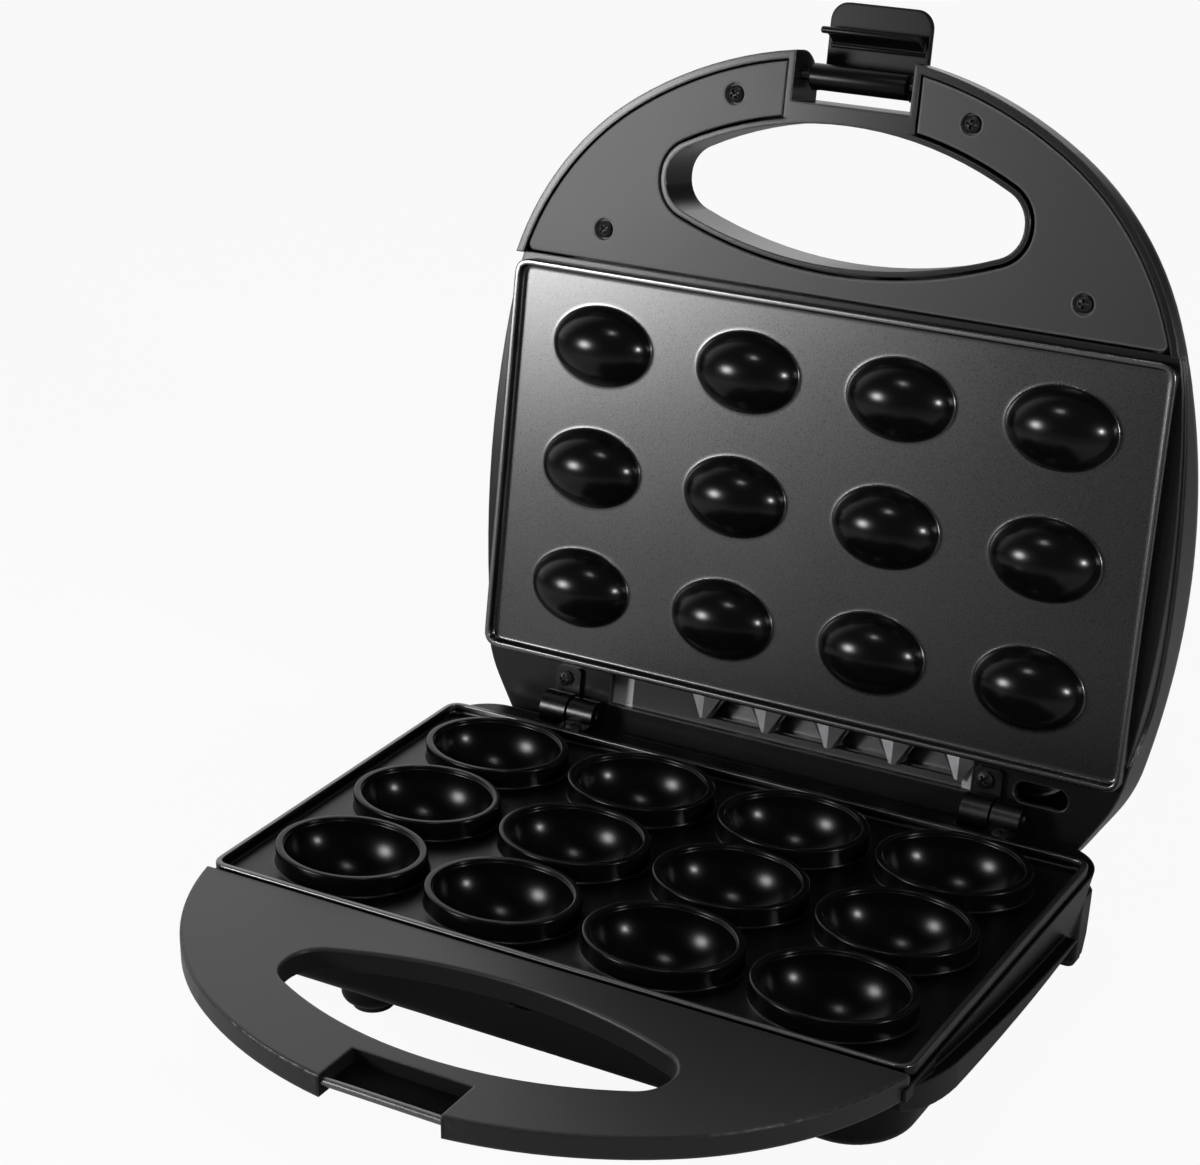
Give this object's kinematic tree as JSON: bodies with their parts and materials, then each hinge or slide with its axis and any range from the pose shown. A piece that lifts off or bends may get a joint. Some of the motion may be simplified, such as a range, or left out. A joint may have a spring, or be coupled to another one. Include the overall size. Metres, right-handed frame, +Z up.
{
  "type": "cookie maker",
  "caption": "Countertop electric cookie maker with a hinged domed lid, oval moulds in a non-stick plate, loop handles and a turning front latch",
  "frame": {"origin": "on the table under the middle of the part's outer box, which is under the middle of the cooking plates", "axes": "X to the right of a person at the handles, Y from the handles to the hinge, Z up"},
  "size_m": [0.228, 0.273, 0.2556],
  "materials": {
    "dark_housing": "moulded heat-resistant plastic, near black",
    "grained_cover": "fine moulded grain, dark grey",
    "non_stick": "dark satin non-stick coating on cast aluminium",
    "latch_plastic": "satin black",
    "plain_steel": "satin steel",
    "black_steel": "blackened screws",
    "bright_aluminium": "bright rolled sheet",
    "heater_sheath": "annealed heater sheath",
    "white_ceramic": "unglazed ceramic",
    "foot_rubber": "matt black rubber",
    "red_lens": "clear red lens",
    "green_lens": "clear green lens"
  },
  "bodies": {
    "base": {"base_housing": "dark_housing", "base_handle_cover": "grained_cover", "catch_bar": "plain_steel", "base_plate": "non_stick", "base_heater": "heater_sheath", "base_heater_insulators": "white_ceramic", "base_heater_clips": "plain_steel", "base_clip_screws": "plain_steel", "base_reflector": "bright_aluminium", "base_thermostat": "plain_steel", "base_thermal_fuse": "bright_aluminium", "base_handle_screws": "black_steel", "base_plate_screws": "black_steel", "foot_pads": "foot_rubber", "terminal_block": "white_ceramic", "cord_gland": "foot_rubber", "base_hinge_bracket_left": "plain_steel", "base_hinge_bracket_right": "plain_steel", "base_hinge_screws": "black_steel", "hinge_pins": "plain_steel"},
    "lid": {"lid_shell": "dark_housing", "lid_handle_cover": "grained_cover", "lid_plate": "non_stick", "lid_heater": "heater_sheath", "lid_heater_insulators": "white_ceramic", "lid_heater_clips": "plain_steel", "lid_clip_screws": "plain_steel", "lid_reflector": "bright_aluminium", "lid_reflector_screws": "plain_steel", "lid_thermostat": "plain_steel", "lid_thermal_fuse": "bright_aluminium", "lid_vent_strip": "bright_aluminium", "lid_hinge_bracket_left": "plain_steel", "lid_hinge_bracket_right": "plain_steel", "lid_hinge_screws": "black_steel", "lid_handle_screws": "black_steel", "lid_plate_screws": "black_steel", "power_lens": "red_lens", "ready_lens": "green_lens", "lamp_holder": "dark_housing", "latch_pin": "plain_steel"},
    "latch": {"latch": "latch_plastic"}
  },
  "joints": [
    {"name": "lid_hinge", "type": "hinge", "parent": "base", "child": "lid", "pos_m": [0, 0.0769, 0.0347], "axis": [1, 0, 0], "range_deg": [0, 100.3]},
    {"name": "latch_hinge", "type": "hinge", "parent": "lid", "child": "latch", "pos_m": [0, 0.12185, 0.2356], "axis": [1, 0, 0], "range_deg": [0, 90]}
  ]
}
